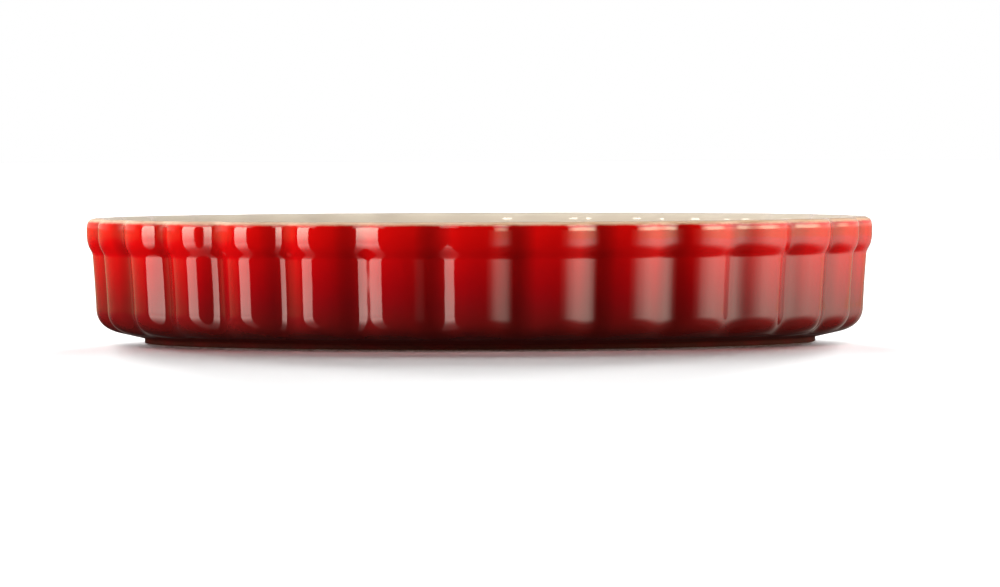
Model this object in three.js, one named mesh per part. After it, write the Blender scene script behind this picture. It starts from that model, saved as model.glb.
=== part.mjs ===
// Fluted stoneware tart dish with its fired glaze coats, in millimetres, +Z up.
// The origin is on the table under the dish's centre, and a flute crest faces -Y.
import * as THREE from "three";

// Driving dimensions of the glazed dish; radii and diameters are taken over the flute crests
const rimDiameter = 290;
const dishHeight = 46;
const lipWidth = 6;
const lipRounding = 3.4;
const bandHeight = 5.3;
const bandOverhang = 2.2;
const coveHeight = 8.7;
const coveWaist = 2.6;
const wallTaper = 1.25;
const wallThickness = 6.5;
const cornerHeight = 13.2;
const cornerReach = 9;
const undersideAngle = 12.5;
const footDiameter = 247;
const footHeight = 1.85;
const footRingWidth = 7;
const recessDepth = 1.8;
const floorThickness = 6.8;
const insideCornerRadius = 9.5;
const glazeThickness = 0.5;
const bareFootHeight = 0.2;
const baseGlazeClearance = 0.3;

// Flutes
const fluteCount = 30;
const wallFluteDepth = 4.2;
const bandFluteDepth = 3.8;
const insideFluteDepth = 3.6;
const undersideFluteDepth = 1.2;
const fluteFullness = 0.115;

// Facets: columns round each flute, columns that one facet spans where there are no flutes, steps along a curve
const columnsPerFlute = 6;
const plainFacetColumns = 3;
const faceSteps = { corner: 2, cove: 3, lip: 2 };
const bondSteps = { corner: 2, cove: 1, lip: 1 };

const columns = fluteCount * columnsPerFlute;
const rimRadius = rimDiameter / 2;
const lipRadius = rimRadius - lipWidth / 2;
const insideRimRadius = rimRadius - lipWidth;
const lipBottom = dishHeight - lipRounding;
const bandBottom = dishHeight - bandHeight;
const wallTop = bandBottom - coveHeight;
const waist = wallTop + coveWaist;
const wallTopRadius = rimRadius - bandOverhang;
const wallBottomRadius = wallTopRadius - wallTaper;
const footRadius = footDiameter / 2;
const footInnerRadius = footRadius - footRingWidth;
const undersideSlope = Math.tan(THREE.MathUtils.degToRad(undersideAngle));
const insideWallRadius = wallBottomRadius - wallThickness;
const floorRadius = insideWallRadius - insideCornerRadius;
const floorHeight = recessDepth + floorThickness;

// A point of an outline: its radius over a flute crest, its height, and the depth of the flutes there
function at(radius, height, fluteDepth = 0) {
  return new THREE.Vector3(radius, height, fluteDepth);
}

// The run from the last point of an outline to its end, straight or drawn round by one or two bends
function extend(outline, steps, end, ...bends) {
  const start = outline.at(-1);
  const curves = [
    () => new THREE.LineCurve3(start, end),
    () => new THREE.QuadraticBezierCurve3(start, bends[0], end),
    () => new THREE.CubicBezierCurve3(start, bends[0], bends[1], end),
  ];
  const curve = curves[bends.length]();
  outline.push(...curve.getPoints(steps).slice(1));
}

// The outside from the bare edge of the foot up to the top of the lip, sunk under the glazed face by a depth
function outsideOutline(depth, steps) {
  const underside = (radius) => footHeight + depth + (radius - footRadius) * undersideSlope;
  const cornerEnd = wallBottomRadius - cornerReach;
  const wall = wallBottomRadius - depth;
  const rim = rimRadius - depth;
  const outline = [at(footRadius - depth, bareFootHeight)];
  extend(outline, 1, at(footRadius - depth, underside(footRadius)));
  extend(outline, 1, at(cornerEnd, underside(cornerEnd), undersideFluteDepth));
  extend(
    outline,
    steps.corner,
    at(wall, cornerHeight, wallFluteDepth),
    at(wall, underside(wall), wallFluteDepth),
  );
  extend(outline, 1, at(wallTopRadius - depth, wallTop, wallFluteDepth));
  extend(
    outline,
    steps.cove,
    at(rim, bandBottom, bandFluteDepth),
    at(wallTopRadius - depth, waist, wallFluteDepth),
    at(rim, waist, bandFluteDepth),
  );
  extend(outline, 1, at(rim, lipBottom, bandFluteDepth));
  extend(
    outline,
    steps.lip,
    at(lipRadius, dishHeight - depth, bandFluteDepth),
    at(rim, dishHeight - depth, bandFluteDepth),
  );
  return outline;
}

// The inside from the top of the lip down to the flat floor and its centre, sunk under the glazed face by a depth
function insideOutline(depth, steps) {
  const rim = insideRimRadius + depth;
  const wall = insideWallRadius + depth;
  const floor = floorHeight - depth;
  const outline = [at(lipRadius, dishHeight - depth, bandFluteDepth)];
  extend(
    outline,
    steps.lip,
    at(rim, lipBottom, bandFluteDepth),
    at(rim, dishHeight - depth, bandFluteDepth),
  );
  extend(outline, 1, at(wall, floorHeight + insideCornerRadius, insideFluteDepth));
  extend(outline, steps.corner, at(floorRadius, floor), at(wall, floor, insideFluteDepth / 2));
  extend(outline, 1, at(0, floor));
  return outline;
}

// 1 on a crest and 0 in a valley; fullness widens the crests and narrows the valleys
function fluteWave(turn) {
  const phase = fluteCount * turn;
  return (1 + Math.cos(phase)) / 2 + fluteFullness * Math.sin(phase) ** 2;
}

// Turns an outline round the Z axis and presses the flutes into it
function turned(outline) {
  const profile = outline.map((point) => new THREE.Vector2(point.x, point.y));
  const geometry = new THREE.LatheGeometry(profile, columns);
  const position = geometry.attributes.position;
  for (let i = 0; i < position.count; i++) {
    const { x: crestRadius, y: height, z: fluteDepth } = outline[i % outline.length];
    const step = Math.floor(i / outline.length);
    const plainStep = Math.round(step / plainFacetColumns) * plainFacetColumns;
    const column = (fluteDepth > 0 ? step : plainStep) % columns;
    const turn = (2 * Math.PI * column) / columns;
    const radius = crestRadius - fluteDepth * (1 - fluteWave(turn));
    position.setXYZ(i, radius * Math.sin(turn), -radius * Math.cos(turn), height);
  }
  splitTowardsCrests(geometry.index, outline);
  geometry.computeVertexNormals();
  return geometry;
}

// Splits each four-sided facet along the diagonal that climbs to its crest, whichever way the outline runs,
// so that a coat and the clay under it meet on the same triangles
function splitTowardsCrests(index, outline) {
  const rows = outline.length - 1;
  for (let facet = 0; facet < rows * columns; facet++) {
    const row = facet % rows;
    const rising = outline[row + 1].y > outline[row].y;
    const leavesCrest = Math.floor(facet / rows) % columnsPerFlute < columnsPerFlute / 2;
    if (rising !== leavesCrest) {
      const [a, b, d, c] = index.array.slice(6 * facet, 6 * facet + 4);
      index.set([a, b, c, a, c, d], 6 * facet);
    }
  }
}

function piece(name, outline, material) {
  const mesh = new THREE.Mesh(turned(outline), material);
  mesh.name = name;
  return mesh;
}

// The fired clay: recess, foot ring, outside and inside, all under the glaze except the seat of the foot ring
function stonewareBody() {
  const ceiling = recessDepth + glazeThickness;
  const outline = [
    at(0, ceiling),
    at(footInnerRadius, ceiling),
    at(footInnerRadius, 0),
    at(footRadius - glazeThickness, 0),
    ...outsideOutline(glazeThickness, bondSteps),
    ...insideOutline(glazeThickness, bondSteps).slice(1),
  ];
  const clay = new THREE.MeshStandardMaterial({ color: 0xd9cdb8, roughness: 0.85, metalness: 0 });
  return piece("stoneware_body", outline, clay);
}

// The red coat: its shining face going up to the lip, then the face bonded to the clay coming down
function outerGlaze() {
  const face = outsideOutline(0, faceSteps);
  const bond = outsideOutline(glazeThickness, bondSteps).reverse();
  const red = new THREE.MeshStandardMaterial({ color: 0xb8100f, roughness: 0.08, metalness: 0 });
  return piece("outer_glaze", [...face, ...bond, face[0]], red);
}

// The cream coat: the face bonded to the clay going up from the floor, then its shining face coming down
function innerGlaze() {
  const bond = insideOutline(glazeThickness, bondSteps).reverse();
  const face = insideOutline(0, faceSteps);
  const cream = new THREE.MeshStandardMaterial({ color: 0xeae0c8, roughness: 0.1, metalness: 0 });
  return piece("inner_glaze", [...bond, ...face], cream);
}

// The coat on the ceiling of the recess inside the foot ring
function baseGlaze() {
  const edge = footInnerRadius - baseGlazeClearance;
  const outline = [
    at(0, recessDepth),
    at(edge, recessDepth),
    at(edge, recessDepth + glazeThickness),
    at(0, recessDepth + glazeThickness),
  ];
  const darkRed = new THREE.MeshStandardMaterial({ color: 0x4a0a0a, roughness: 0.12, metalness: 0 });
  return piece("base_glaze", outline, darkRed);
}

const dish = new THREE.Group();
dish.add(stonewareBody(), outerGlaze(), innerGlaze(), baseGlaze());

export default dish;
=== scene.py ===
# A shallow fluted tart dish in stoneware, glazed red outside and cream inside, on a white studio floor.
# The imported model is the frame: every piece here stands exactly where its solid does, in metres, +Z up.
import math

import bpy
import numpy as np
from mathutils import Matrix, Vector


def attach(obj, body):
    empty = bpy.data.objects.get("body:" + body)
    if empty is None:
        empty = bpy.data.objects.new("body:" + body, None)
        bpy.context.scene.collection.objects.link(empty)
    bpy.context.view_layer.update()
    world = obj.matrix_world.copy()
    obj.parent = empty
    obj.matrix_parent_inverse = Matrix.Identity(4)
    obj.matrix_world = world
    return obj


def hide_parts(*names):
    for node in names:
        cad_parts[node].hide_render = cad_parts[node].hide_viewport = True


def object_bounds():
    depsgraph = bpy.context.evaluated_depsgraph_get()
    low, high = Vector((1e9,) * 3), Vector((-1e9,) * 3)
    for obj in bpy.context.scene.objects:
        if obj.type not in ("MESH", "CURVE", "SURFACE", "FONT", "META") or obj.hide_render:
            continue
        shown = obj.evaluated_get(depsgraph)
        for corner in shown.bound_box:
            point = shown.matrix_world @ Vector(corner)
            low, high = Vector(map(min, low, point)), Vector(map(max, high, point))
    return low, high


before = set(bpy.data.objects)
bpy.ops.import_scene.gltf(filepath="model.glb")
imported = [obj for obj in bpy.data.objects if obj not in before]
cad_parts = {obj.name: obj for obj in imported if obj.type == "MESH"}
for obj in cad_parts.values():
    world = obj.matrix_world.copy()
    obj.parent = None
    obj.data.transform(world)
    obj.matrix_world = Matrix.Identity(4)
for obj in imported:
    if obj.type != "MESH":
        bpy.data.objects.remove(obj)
cad_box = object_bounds()

# Stoneware body.
# One pressing of pale stoneware, fired hard: floor, fluted wall, rim band, lip and foot ring together.
# Glaze hides the clay everywhere but on the seat of the foot ring, which is ground flat and left bare.
mm = 0.001
rim_radius = -cad_box[0].y
dish_height = cad_box[1].z
lip_width = 6 * mm
lip_rounding = 3.4 * mm
band_height = 5.3 * mm
band_overhang = 2.2 * mm
cove_height = 8.7 * mm
cove_waist = 2.6 * mm
wall_taper = 1.25 * mm
wall_hollow = 0.16 * mm
wall_thickness = 6.5 * mm
corner_height = 13.2 * mm
corner_reach = 9 * mm
underside_slope = math.tan(math.radians(12.5))
foot_radius = 123.5 * mm
foot_height = 1.85 * mm
foot_ring_width = 7 * mm
foot_edge = 0.4 * mm
recess_depth = 1.8 * mm
floor_thickness = 6.8 * mm
inside_corner = 9.5 * mm
glaze_thickness = 0.5 * mm
bare_foot_height = 0.2 * mm

flute_count = 30
wall_flutes = 4.1 * mm
band_flutes = 3.5 * mm
inside_flutes = 3.6 * mm
underside_flutes = 1.2 * mm
flute_fullness = 0.115
columns_per_flute = 36
columns = flute_count * columns_per_flute
hidden_fineness = 0.4

clay_cloud = 14 * mm
grog_size = 0.7 * mm
grain_size = 0.5 * mm
grain_height = 0.1 * mm
buff = (0.66, 0.57, 0.44)
pale_buff = (0.76, 0.67, 0.54)
grog_brown = (0.30, 0.22, 0.15)
# Painted contact shade for the outer edge of the bare seat
contact_shade_brown = (0.05, 0.012, 0.009)

lip_radius = rim_radius - lip_width / 2
lip_bottom = dish_height - lip_rounding
band_bottom = dish_height - band_height
wall_top = band_bottom - cove_height
wall_top_radius = rim_radius - band_overhang
wall_bottom_radius = wall_top_radius - wall_taper
foot_inner_radius = foot_radius - foot_ring_width
inside_wall_radius = wall_bottom_radius - wall_thickness
floor_radius = inside_wall_radius - inside_corner
floor_height = recess_depth + floor_thickness


def bezier(steps, *points):
    """The Bezier curve that its first and last points end and the others bend: the sum over the points of
    choose(n, k) (1 - t)^(n - k) t^k times point k. A point is (crest radius, height, flute depth)."""
    order = len(points) - 1
    t = np.linspace(0, 1, math.ceil(steps) + 1)[:, None]
    shares = [math.comb(order, k) * (1 - t) ** (order - k) * t**k for k in range(order + 1)]
    return sum(share * np.array(point, float) for share, point in zip(shares, points))


def joined(*runs):
    """One outline out of runs that each start where the last one ended."""
    return np.vstack([runs[0], *(run[1:] for run in runs[1:])])


def outside_outline(depth):
    """The outside from the bare edge of the foot up to the top of the lip, sunk under the glaze by a depth.
    The face under the glaze has fewer steps, because nothing sees it."""
    def underside(radius):
        return foot_height + depth + (radius - foot_radius) * underside_slope

    fineness = hidden_fineness if depth else 1
    foot = foot_radius - depth
    corner_end = wall_bottom_radius - corner_reach
    wall = wall_bottom_radius - depth
    wall_up = wall_top_radius - depth
    rim = rim_radius - depth
    top = dish_height - depth
    waist = wall_top + cove_waist
    edge = (foot, bare_foot_height, 0)
    root = (foot, underside(foot_radius), 0)
    flare = (corner_end, underside(corner_end), underside_flutes)
    wall_low = (wall, corner_height, wall_flutes)
    wall_high = (wall_up, wall_top, wall_flutes)
    hollow = ((wall + wall_up) / 2 - wall_hollow, (corner_height + wall_top) / 2, wall_flutes)
    waist_low = (wall_up, waist, wall_flutes)
    waist_high = (rim, waist, band_flutes)
    band_low = (rim, band_bottom, band_flutes)
    band_high = (rim, lip_bottom, band_flutes)
    return joined(
        bezier(2 * fineness, edge, root),
        bezier(4 * fineness, root, flare),
        bezier(14 * fineness, flare, (wall, underside(wall), wall_flutes), wall_low),
        bezier(8 * fineness, wall_low, hollow, wall_high),
        bezier(16 * fineness, wall_high, waist_low, waist_high, band_low),
        bezier(1, band_low, band_high),
        bezier(10 * fineness, band_high, (rim, top, band_flutes), (lip_radius, top, band_flutes)),
    )


def inside_outline(depth):
    """The inside from the top of the lip down to the floor's middle, sunk under the glaze by a depth."""
    fineness = hidden_fineness if depth else 1
    rim = rim_radius - lip_width + depth
    wall = inside_wall_radius + depth
    top = dish_height - depth
    floor = floor_height - depth
    lip = (lip_radius, top, band_flutes)
    rim_low = (rim, lip_bottom, band_flutes)
    wall_low = (wall, floor_height + inside_corner, inside_flutes)
    floor_edge = (floor_radius, floor, 0)
    return joined(
        bezier(10 * fineness, lip, (rim, top, band_flutes), rim_low),
        bezier(8 * fineness, rim_low, wall_low),
        bezier(14 * fineness, wall_low, (wall, floor, inside_flutes / 2), floor_edge),
        bezier(10 * fineness, floor_edge, (0, floor, 0)),
    )


def flute_wave(turn):
    """1 on a crest and 0 in a valley: a raised cosine plus a share of sine squared to fill the crests."""
    phase = flute_count * turn
    return (1 + np.cos(phase)) / 2 + flute_fullness * np.sin(phase) ** 2


def turned(name, outline):
    """Carries an outline round the Z axis: the radius at a turn is the crest's radius less the flute depth
    times (1 - wave). An outline that starts and ends on the axis has a pole at both ends, and any other one
    closes on itself."""
    radius, height, depth = outline.T
    on_axis = radius[0] == 0
    if on_axis:
        radius, height, depth = outline[1:-1].T
    turn = np.linspace(0, 2 * np.pi, columns, endpoint=False)
    spread = radius[:, None] - depth[:, None] * (1 - flute_wave(turn))
    level = np.broadcast_to(height[:, None], spread.shape)
    points = np.stack([spread * np.sin(turn), -spread * np.cos(turn), level], axis=-1).reshape(-1, 3)
    rows = len(radius)
    row, column = np.meshgrid(np.arange(rows - on_axis), np.arange(columns), indexing="ij")
    beside = (column + 1) % columns
    this_row = row * columns
    next_row = (row + 1) % rows * columns
    corners = [this_row + column, this_row + beside, next_row + beside, next_row + column]
    faces = np.stack(corners, axis=-1).reshape(-1, 4).tolist()
    if on_axis:
        rim = np.arange(columns)
        start, end = len(points), len(points) + 1
        last = (rows - 1) * columns
        points = np.vstack([points, [(0, 0, outline[0, 1]), (0, 0, outline[-1, 1])]])
        faces += np.stack([np.full(columns, start), (rim + 1) % columns, rim], axis=-1).tolist()
        faces += np.stack([np.full(columns, end), last + rim, last + (rim + 1) % columns], axis=-1).tolist()
    mesh = bpy.data.meshes.new(name)
    mesh.from_pydata(points.tolist(), [], faces)
    mesh.shade_smooth()
    piece = bpy.data.objects.new(name, mesh)
    bpy.context.scene.collection.objects.link(piece)
    return piece


class Wire:
    """A socket of a node tree that Python's operators work on: each operation adds a Math node."""

    def __init__(self, nodes, socket):
        self.nodes = nodes
        self.socket = socket

    def __add__(self, other):
        return self.nodes.math("ADD", self, other)

    def __radd__(self, other):
        return self.nodes.math("ADD", other, self)

    def __sub__(self, other):
        return self.nodes.math("SUBTRACT", self, other)

    def __rsub__(self, other):
        return self.nodes.math("SUBTRACT", other, self)

    def __mul__(self, other):
        return self.nodes.math("MULTIPLY", self, other)

    def __rmul__(self, other):
        return self.nodes.math("MULTIPLY", other, self)

    def __truediv__(self, other):
        return self.nodes.math("DIVIDE", self, other)


class Nodes:
    """The node tree of a finish, a lamp or the world."""

    def __init__(self, owner):
        owner.use_nodes = True
        self.tree = owner.node_tree
        self.tree.nodes.clear()

    def add(self, kind, settings=None, sockets=None, output=0):
        """Adds a node, makes its settings, then sets or links its sockets. Gives one output as a Wire."""
        node = self.tree.nodes.new(kind)
        for key, value in (settings or {}).items():
            if key == "stops":
                ramp = node.color_ramp.elements
                while len(ramp) < len(value):
                    ramp.new(1)
                for stop, (place, colour) in zip(ramp, value):
                    stop.position = place
                    stop.color = (*colour, 1)
            else:
                setattr(node, key, value)
        for key, value in (sockets or {}).items():
            socket = self.socket(node.inputs, key)
            if isinstance(value, Wire):
                self.tree.links.new(value.socket, socket)
            elif socket.type == "RGBA":
                socket.default_value = (*value, 1)
            else:
                socket.default_value = value
        return Wire(self, self.socket(node.outputs, output)) if len(node.outputs) else None

    def socket(self, sockets, key):
        """The socket of a number, an identifier or a name; an identifier tells like-named sockets apart."""
        return next((s for s in sockets if s.identifier == key), None) or sockets[key]

    def math(self, operation, *values):
        """A Math node's result, out of numbers and Wires."""
        return self.add("ShaderNodeMath", {"operation": operation}, dict(enumerate(values)))

    def place(self):
        """Object coordinates, which are metres in the dish's own frame."""
        return self.add("ShaderNodeTexCoord", output="Object")

    def part(self, vector, axis):
        """One of a vector's parts: X, Y or Z."""
        return self.add("ShaderNodeSeparateXYZ", None, {"Vector": vector}, axis)

    def noise(self, place, size, detail=3.0):
        """Soft noise from 0 to 1 whose features are about that size."""
        sockets = {"Vector": place, "Scale": 1 / size, "Detail": detail}
        return self.add("ShaderNodeTexNoise", None, sockets)

    def ramp(self, value, *stops):
        """The colour at a value, between stops of (value, colour)."""
        return self.add("ShaderNodeValToRGB", {"stops": stops}, {"Fac": value})

    def level(self, value, *stops):
        """The number at a value, between stops of (value, number from 0 to 1)."""
        return self.ramp(value, *((place, (number,) * 3) for place, number in stops))

    def mix(self, share, first, second):
        """The first colour at share 0 and the second at share 1."""
        sockets = {"Factor_Float": share, "A_Color": first, "B_Color": second}
        return self.add("ShaderNodeMix", {"data_type": "RGBA"}, sockets, "Result_Color")


def dress(piece, finish):
    """Puts a finish on a piece that stands for the solid of its own name and stays on the dish."""
    node = piece.name.removesuffix("_piece")
    piece.data.materials.append(finish)
    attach(piece, "root")
    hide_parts(node)


def body_outline():
    """The clay from the middle of the recess under the dish, round foot ring and wall, to the floor."""
    ceiling = recess_depth + glaze_thickness
    outer = foot_radius - glaze_thickness
    inner_wall = (foot_inner_radius, ceiling, 0)
    inner_edge = (foot_inner_radius, foot_edge, 0)
    seat_start = (foot_inner_radius + foot_edge, 0, 0)
    seat_end = (outer - foot_edge, 0, 0)
    return joined(
        bezier(8, (0, ceiling, 0), inner_wall),
        bezier(1, inner_wall, inner_edge),
        bezier(3, inner_edge, (foot_inner_radius, 0, 0), seat_start),
        bezier(3, seat_start, seat_end),
        bezier(3, seat_end, (outer, 0, 0), (outer, bare_foot_height, 0)),
        outside_outline(glaze_thickness),
        inside_outline(glaze_thickness),
    )


def stoneware_finish():
    """Bare fired clay: pale buff with fine dark grog specks, matt and slightly grainy. Along the outer edge
    of the seat it is painted brown-black, as painted contact shade."""
    material = bpy.data.materials.new("bare_stoneware")
    nodes = Nodes(material)
    place = nodes.place()
    specks = nodes.level(nodes.noise(place, grog_size, 1.0), (0.30, 1), (0.36, 0))
    clouds = nodes.ramp(nodes.noise(place, clay_cloud), (0.3, buff), (0.7, pale_buff))
    speckled = nodes.mix(specks * 0.55, clouds, grog_brown)
    radius = nodes.add("ShaderNodeVectorMath", {"operation": "LENGTH"}, {0: place}, "Value")
    # Painted shade: the outer edge of the seat is darkened as if the floor shadowed it
    contact_shaded = nodes.level(radius / foot_radius, (0.985, 0), (0.993, 1))
    colour = nodes.mix(contact_shaded, speckled, contact_shade_brown)
    grain = nodes.add("ShaderNodeBump", None, {
        "Strength": 0.35, "Distance": grain_height, "Height": nodes.noise(place, grain_size, 4.0),
    })
    shader = nodes.add("ShaderNodeBsdfPrincipled", None, {
        "Base Color": colour, "Roughness": 0.85, "Normal": grain,
    })
    nodes.add("ShaderNodeOutputMaterial", None, {"Surface": shader})
    return material


body = turned("stoneware_body_piece", body_outline())
dress(body, stoneware_finish())

# Red outer glaze.
# A gloss coat half a millimetre thick from the bare edge of the foot up to the top of the lip.
# It is sprayed in two shades that run from brown-black at the foot into orange-red at the rim.
glaze_ior = 1.5
swell_height = 0.10 * mm
dimple_height = 0.005 * mm
spray_cloud = 11 * mm
spray_streak = 3 * mm
streak_stretch = (1, 1, 0.12)
pooled_and_shade_share = 0.46
# Valley colour: glaze pooling and painted shade together
pooled_and_shaded_red = (0.06, 0.003, 0.003)
# Pale pink over the top of the lip
lip_pink = (0.86, 0.60, 0.47)

# Shares of the dish's height: how far clouds and streaks move the shades, and where each shade lies
cloud_rise = 0.05
streak_rise = 0.03
lip_streak_rise = 0.012
wipe_rise = 0.02
red_by_height = (
    (0.02, (0.034, 0.006, 0.004)),
    (0.07, (0.062, 0.005, 0.004)),
    (0.13, (0.108, 0.007, 0.007)),
    (0.20, (0.174, 0.007, 0.008)),
    (0.36, (0.275, 0.004, 0.007)),
    (0.50, (0.400, 0.002, 0.005)),
    (0.70, (0.590, 0.002, 0.004)),
    (0.90, (0.720, 0.003, 0.003)),
)


def coat_outline(face, bond):
    """A closed coat: its shining face one way, then the face bonded to the clay back again."""
    return np.vstack([face, bond[::-1]])


def orange_peel(nodes, place, swell, dimple):
    """The normal of a fired glaze, which lies in low swells with faint dimples on them."""
    swells = nodes.noise(place, swell, 1.0) * swell_height
    dimples = nodes.noise(place, dimple, 1.0) * dimple_height
    return nodes.add("ShaderNodeBump", None, {"Strength": 1.0, "Distance": 1.0, "Height": swells + dimples})


def red_finish():
    """The shaded red glaze, by share of the dish's height. The two sprays meet in soft clouds and streaks,
    the glaze pools darker in the valleys, where painted shade darkens them further, the foot is wiped matt,
    and over the top of the lip the colour turns pale pink."""
    material = bpy.data.materials.new("shaded_red_glaze")
    nodes = Nodes(material)
    place = nodes.place()
    height = nodes.part(place, "Z") / dish_height
    clouds = nodes.noise(place, spray_cloud) - 0.5
    streaked = nodes.add("ShaderNodeVectorMath", {"operation": "MULTIPLY"}, {0: place, 1: streak_stretch})
    streaks = nodes.noise(streaked, spray_streak) - 0.5
    shaded = nodes.ramp(height + clouds * cloud_rise + streaks * streak_rise, *red_by_height)
    turn = nodes.math("ARCTAN2", nodes.part(place, "X"), 0 - nodes.part(place, "Y"))
    wave = nodes.math("COSINE", flute_count * turn) * 0.5 + 0.5
    # Valleys of the flutes darkened: part glaze pooling, part painted shade
    pooled = nodes.level(wave, (0.0, 1), (0.45, 0))
    deep = nodes.mix(pooled * pooled_and_shade_share, shaded, pooled_and_shaded_red)
    # Over the top of the lip the colour turns pale pink
    thin = nodes.level(height + streaks * lip_streak_rise, (0.966, 0), (0.986, 1))
    colour = nodes.mix(thin, deep, lip_pink)
    roughness = 0.05 + nodes.noise(place, 7 * mm) * 0.03
    peel = orange_peel(nodes, place, 14 * mm, 2.2 * mm)
    gloss = nodes.add("ShaderNodeBsdfPrincipled", None, {
        "Base Color": colour, "Roughness": roughness, "IOR": glaze_ior, "Normal": peel,
    })
    matt = nodes.add("ShaderNodeBsdfPrincipled", None, {
        "Base Color": colour, "Roughness": 0.8, "Specular IOR Level": 0.05,
    })
    wiped = nodes.level(height + clouds * wipe_rise, (0.06, 1), (0.12, 0))
    shader = nodes.add("ShaderNodeMixShader", None, {"Fac": wiped, 1: gloss, 2: matt})
    nodes.add("ShaderNodeOutputMaterial", None, {"Surface": shader})
    return material


outer = turned("outer_glaze_piece", coat_outline(outside_outline(0), outside_outline(glaze_thickness)))
dress(outer, red_finish())

# Cream inner glaze.
# A gloss coat over the inside wall and the floor, which meets the red coat on top of the lip.
# It is poured in and swilled round, so it lies even on the wall and pools a little on the floor.
cream_cloud = 30 * mm
speck_spacing = 9 * mm
cream = (0.76, 0.705, 0.66)
pale_cream = (0.81, 0.755, 0.71)
pooled_cream = (0.72, 0.62, 0.50)
iron_brown = (0.42, 0.26, 0.13)


def cream_finish():
    """Warm cream with slow clouds of a deeper cream and a few pale brown iron specks, a little deeper where
    it pools on the floor."""
    material = bpy.data.materials.new("cream_glaze")
    nodes = Nodes(material)
    place = nodes.place()
    clouds = nodes.ramp(nodes.noise(place, cream_cloud), (0.3, cream), (0.7, pale_cream))
    pooled = nodes.level(nodes.part(place, "Z") / dish_height, (0.19, 1), (0.36, 0))
    deep = nodes.mix(pooled * 0.25, clouds, pooled_cream)
    spaced = {"Vector": place, "Scale": 1 / speck_spacing}
    speck = nodes.add("ShaderNodeTexVoronoi", None, spaced, "Distance")
    specks = nodes.level(speck, (0.022, 1), (0.045, 0))
    colour = nodes.mix(specks * 0.5, deep, iron_brown)
    roughness = 0.06 + nodes.noise(place, 9 * mm) * 0.04
    peel = orange_peel(nodes, place, 16 * mm, 2.6 * mm)
    shader = nodes.add("ShaderNodeBsdfPrincipled", None, {
        "Base Color": colour, "Roughness": roughness, "IOR": glaze_ior, "Normal": peel,
    })
    nodes.add("ShaderNodeOutputMaterial", None, {"Surface": shader})
    return material


inner_outline = coat_outline(inside_outline(glaze_thickness)[::-1], inside_outline(0)[::-1])
inner = turned("inner_glaze_piece", inner_outline)
dress(inner, cream_finish())

# Base glaze.
# The same glaze brushed thin on the ceiling of the recess inside the foot ring, where it stays dark.
# It stops just short of the ring, so that no glaze touches the shelf in the kiln.
base_clearance = 0.3 * mm
base_cloud = 25 * mm
brown_black = (0.045, 0.006, 0.004)
dark_red = (0.085, 0.010, 0.007)


def base_outline():
    """A thin disc with its edge just inside the foot ring."""
    edge = foot_inner_radius - base_clearance
    low = (edge, recess_depth, 0)
    high = (edge, recess_depth + glaze_thickness, 0)
    return joined(
        bezier(12, (0, recess_depth, 0), low),
        bezier(1, low, high),
        bezier(12, high, (0, recess_depth + glaze_thickness, 0)),
    )


def dark_finish():
    """Brown-black glaze with slow clouds of dark red."""
    material = bpy.data.materials.new("dark_glaze")
    nodes = Nodes(material)
    place = nodes.place()
    colour = nodes.ramp(nodes.noise(place, base_cloud), (0.3, brown_black), (0.7, dark_red))
    shader = nodes.add("ShaderNodeBsdfPrincipled", None, {
        "Base Color": colour, "Roughness": 0.12, "IOR": glaze_ior,
    })
    nodes.add("ShaderNodeOutputMaterial", None, {"Surface": shader})
    return material


base = turned("base_glaze_piece", base_outline())
dress(base, dark_finish())

# Floor.
# A wide white table top that keeps the soft shadow thrown towards the camera.
# The lamps pass through it, as through a table of clear acrylic, so they also light the wall from below.
floor_reach = 9.0
floor_drop = 0.1 * mm
table_white = (0.95, 0.95, 0.95)
quarters = ((-1, -1), (1, -1), (1, 1), (-1, 1))
floor_corners = [(x * floor_reach, y * floor_reach, -floor_drop) for x, y in quarters]
floor_mesh = bpy.data.meshes.new("floor")
floor_mesh.from_pydata(floor_corners, [], [(0, 1, 2, 3)])
floor = bpy.data.objects.new("floor", floor_mesh)
bpy.context.scene.collection.objects.link(floor)
white = bpy.data.materials.new("white_table")
white_nodes = Nodes(white)
white_shader = white_nodes.add("ShaderNodeBsdfDiffuse", None, {"Color": table_white})
white_nodes.add("ShaderNodeOutputMaterial", None, {"Surface": white_shader})
floor_mesh.materials.append(white)
floor.visible_glossy = False
floor.visible_diffuse = False
floor.visible_shadow = False

# Lamps.
# Softboxes at the left, round the right and overhead light the dish. Fills light its colours alone, and
# gleams show in its shine alone. A fan of soft light from behind falls on the floor alone.
def lit(name, *pieces):
    """The pieces that a lamp lights, as a collection for its light linking."""
    receivers = bpy.data.collections.new(name)
    for piece in pieces:
        receivers.objects.link(piece)
    return receivers


lit_dish = lit("lit_dish", body, outer, inner, base)
lit_outside = lit("lit_outside", body, outer, base)
lit_inside = lit("lit_inside", inner)
lit_floor = lit("lit_floor", floor)
warm_white = (1.0, 0.94, 0.80)
rosy = (1.10, 0.82, 0.74)
glowing = (1.0, 0.88, 0.58)
embers = (1.0, 0.80, 0.30)
left_azimuth = -65
left_distance = 1.7
right_distance = 1.6


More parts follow.
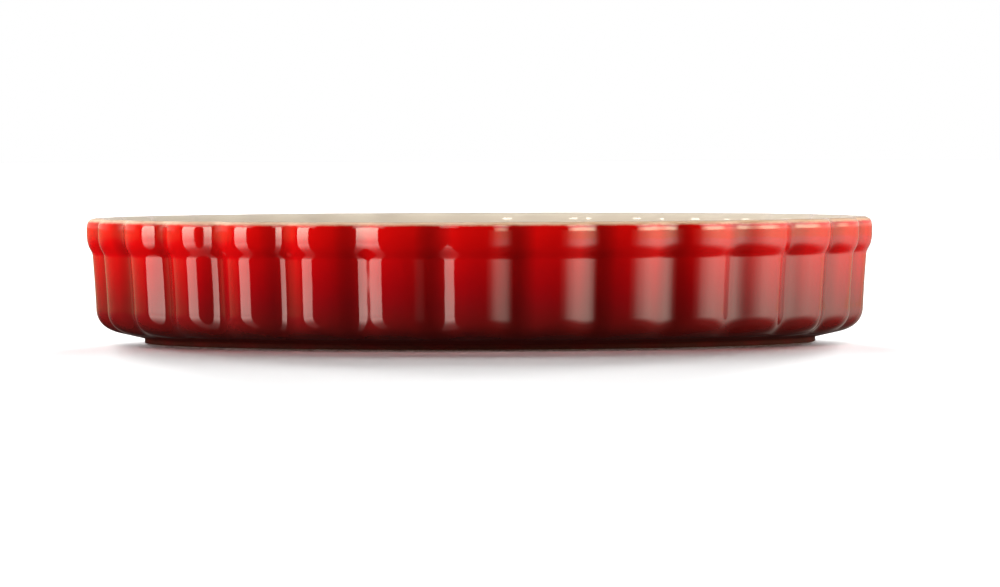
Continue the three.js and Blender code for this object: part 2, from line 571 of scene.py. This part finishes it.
def softbox(
    name, azimuth, distance, levels, sides,
    receivers=lit_outside, colour=warm_white, matt=True, gloss=True,
):
    """An upright softbox at an azimuth from the camera's side. Levels are its brightness at elevations seen
    from the dish, and sides are shares of it at degrees to the left and right of its middle. Both end at
    its edges. Matt and gloss say whether it lights the colour and whether it shows in the shine."""
    def offset(angle):
        return distance * math.tan(math.radians(angle))

    def stops(pairs, start, end, scale):
        return [((offset(angle) - start) / (end - start), value / scale) for angle, value in pairs]

    low, high = offset(levels[0][0]), offset(levels[-1][0])
    left, right = offset(sides[0][0]), offset(sides[-1][0])
    peak = max(level for _, level in levels)
    lamp = bpy.data.lights.new(name, "AREA")
    lamp.shape = "RECTANGLE"
    lamp.size = right - left
    lamp.size_y = high - low
    lamp.energy = math.pi * lamp.size * lamp.size_y
    lamp.color = colour
    nodes = Nodes(lamp)
    face = nodes.add("ShaderNodeNewGeometry", output="Parametric")
    rise = nodes.level(nodes.part(face, "Y"), *stops(levels, low, high, peak))
    spread = nodes.level(nodes.part(face, "X"), *stops(sides, left, right, 1))
    light = nodes.add("ShaderNodeEmission", None, {"Strength": rise * spread * peak})
    nodes.add("ShaderNodeOutputLight", None, {"Surface": light})
    stand = bpy.data.objects.new(name, lamp)
    turn = Matrix.Rotation(math.radians(azimuth), 4, "Z")
    place = Matrix.Translation(((left + right) / 2, -distance, (low + high) / 2))
    stand.matrix_world = turn @ place @ Matrix.Rotation(math.radians(90), 4, "X")
    bpy.context.scene.collection.objects.link(stand)
    stand.light_linking.receiver_collection = receivers
    stand.visible_diffuse = matt
    stand.visible_glossy = gloss


def softbox_arc(name, distance, levels, arc, **settings):
    """A curved softbox of flat ones side by side. The arc gives shares of its brightness at azimuths."""
    for (start, share), (end, next_share) in zip(arc, arc[1:]):
        half = (end - start) / 2
        sides = [(-half, share), (half, next_share)]
        softbox(f"{name}_{start}", start + half, distance, levels, sides, **settings)


left_sides = [(-14, 1), (14, 1)]
softbox(
    "left_softbox", left_azimuth, left_distance,
    [
        (-58, 0.15), (-40, 0.5), (-30, 1.0), (-22, 2.8), (-14, 5.5),
        (-9, 4.9), (-7.5, 4.6), (-5, 5.4), (-3, 6.2),
    ],
    left_sides, colour=rosy,
)
softbox(
    "left_softbox_top", left_azimuth, left_distance,
    [(-3, 5.5), (-2.5, 5.8), (0, 7.5), (4, 10.5), (25, 11.5)],
    left_sides,
)
softbox("left_fill", -98, left_distance, [(0, 2.0), (45, 2.0)], [(-16, 1), (16, 1)], lit_dish, gloss=False)
softbox(
    "left_gleam", left_azimuth, 1.8, [(25, 4), (44, 3), (60, 2)],
    [(-26, 0.4), (-10, 1), (10, 1), (26, 0.4)],
    matt=False,
)
softbox_arc(
    "left_glow", 1.9, [(-8, 0), (0, 0.35), (30, 0.35)], [(-172, 1), (-130, 1), (-86, 1)],
    colour=embers, matt=False,
)
right_arc = [
    (24, 0), (36, 0.12), (50, 0.58), (68, 0.94), (82, 0.94),
    (104, 0.60), (126, 0.27), (146, 0.14), (168, 0.08),
]
softbox_arc(
    "right_softbox", right_distance,
    [(-50, 0.05), (-30, 0.15), (-22, 0.9), (-14, 3.0), (-8, 3.3), (-3, 3.4)],
    right_arc,
)
softbox_arc("right_softbox_top", right_distance, [(-3, 3.4), (9, 3.6)], right_arc, colour=glowing)
softbox_arc(
    "right_strip", 1.9, [(3, 4), (8, 9), (17, 9), (22, 5)], [(40, 0.15), (58, 1), (84, 0.85), (106, 0.1)],
    colour=glowing,
)
softbox_arc(
    "right_gleam", 2.0,
    [(3, 0), (9, 3.0), (14, 4.6), (22, 5), (28, 6.5), (40, 6), (58, 3)],
    [(40, 0.1), (58, 1), (84, 1), (106, 0.4), (130, 0.2), (150, 0.08)],
    matt=False,
)
softbox_arc(
    "back_fill", 1.8, [(0, 2.2), (40, 2.2)], [(150, 0.7), (180, 1), (210, 1), (236, 0.7)],
    receivers=lit_dish, gloss=False,
)
softbox_arc(
    "inside_fill", 1.7, [(8, 1.4), (50, 1.4)], [(-90, 1), (-30, 1), (30, 1), (90, 1)],
    receivers=lit_inside, gloss=False,
)
softbox(
    "inside_gleam", left_azimuth, left_distance, [(14, 14), (28, 14)], [(-12, 1), (12, 1)],
    lit_inside, matt=False,
)

overhead_size = 0.9
overhead_height = 1.2
for name, level, receivers in (("overhead_softbox", 1.2, lit_dish), ("inside_softbox", 1.5, lit_inside)):
    overhead = bpy.data.lights.new(name, "AREA")
    overhead.shape = "SQUARE"
    overhead.size = overhead_size
    overhead.energy = math.pi * overhead.size ** 2 * level
    overhead.color = warm_white
    stand = bpy.data.objects.new(name, overhead)
    stand.location = (0, 0, overhead_height)
    bpy.context.scene.collection.objects.link(stand)
    stand.light_linking.receiver_collection = receivers

# The glaze throws red light on the floor near it. Other lamps lack that red, so the open floor stays white.
plain = (1, 1, 1)
less_red = (0.95, 1.02, 1.018)
bounced_red = (1.26, 0.91, 0.91)
for elevation, azimuth, softness, light, colour in (
    (3, 6, 5, 0.66, plain),
    (5, 16, 6, 0.22, plain),
    (11, 9, 9, 0.38, less_red),
    (24, 20, 20, 0.34, less_red),
    (15, 95, 12, 0.10, bounced_red),
    (80, 0, 50, 0.07, bounced_red),
):
    for side in (-1, 1):
        sun = bpy.data.lights.new("floor_sun", "SUN")
        sun.energy = math.pi * light / 2 / math.sin(math.radians(elevation))
        sun.angle = math.radians(softness)
        sun.color = colour
        stand = bpy.data.objects.new("floor_sun", sun)
        stand.rotation_euler = (math.radians(90 - elevation), 0, math.radians(180 + side * azimuth))
        bpy.context.scene.collection.objects.link(stand)
        stand.light_linking.receiver_collection = lit_floor

# White to the camera. The glaze mirrors a pale backdrop, in a dim room that brightens towards the back.
backdrop_level = 0.6
room_level = 0.02
room_rise = 0.15
ambient = 0.02
room_tint = (1, 0.84, 0.78)
world = bpy.data.worlds.new("studio")
bpy.context.scene.world = world
sky = Nodes(world)
camera_ray = sky.add("ShaderNodeLightPath", output="Is Camera Ray")
glossy_ray = sky.add("ShaderNodeLightPath", output="Is Glossy Ray")
clear_ray = sky.add("ShaderNodeLightPath", output="Is Transmission Ray")
mirrored = sky.math("MAXIMUM", glossy_ray, clear_ray)
direction = sky.add("ShaderNodeTexCoord", output="Generated")
behind = sky.part(direction, "Y")
upward = sky.part(direction, "Z")
backdrop = sky.level(behind, (0.15, 0), (0.35, 1)) * sky.level(upward, (0, 0), (0.01, 1))
above_table = sky.level(upward * 0.5 + 0.5, (0.36, 0), (0.43, 1))
dim_room = room_level + sky.level(behind, (0, 0), (1, room_rise)) * above_table
reflected = dim_room + backdrop * backdrop_level
unseen = mirrored * reflected + (1 - mirrored) * ambient
strength = camera_ray + (1 - camera_ray) * unseen
tint = sky.mix(camera_ray, room_tint, plain)
background = sky.add("ShaderNodeBackground", None, {"Color": tint, "Strength": strength})
sky.add("ShaderNodeOutputWorld", None, {"Surface": background})

# Camera.
# It stands nearly level with the dish, a little to the right of its middle, with a long lens.
frame_width = 1000
camera_distance = 3.86
camera_height = 0.0942
camera_azimuth = 0.68
lens_pixels = 10474
aim_height = 0.0178
aim_right = 0.0074
roll = -0.17

camera_data = bpy.data.cameras.new("camera")
camera_data.sensor_width = 36
camera_data.lens = camera_data.sensor_width * lens_pixels / frame_width
camera_data.clip_end = 100
camera = bpy.data.objects.new("camera", camera_data)
bpy.context.scene.collection.objects.link(camera)
turn = math.radians(camera_azimuth)
eye = Vector((camera_distance * math.sin(turn), -camera_distance * math.cos(turn), camera_height))
rightward = Vector((math.cos(turn), math.sin(turn), 0))
aim = rightward * aim_right + Vector((0, 0, aim_height))
look = (aim - eye).to_track_quat("-Z", "Y").to_matrix().to_4x4()
camera.matrix_world = Matrix.Translation(eye) @ look @ Matrix.Rotation(math.radians(roll), 4, "Z")
bpy.context.scene.camera = camera
bpy.context.scene.view_settings.view_transform = "Standard"
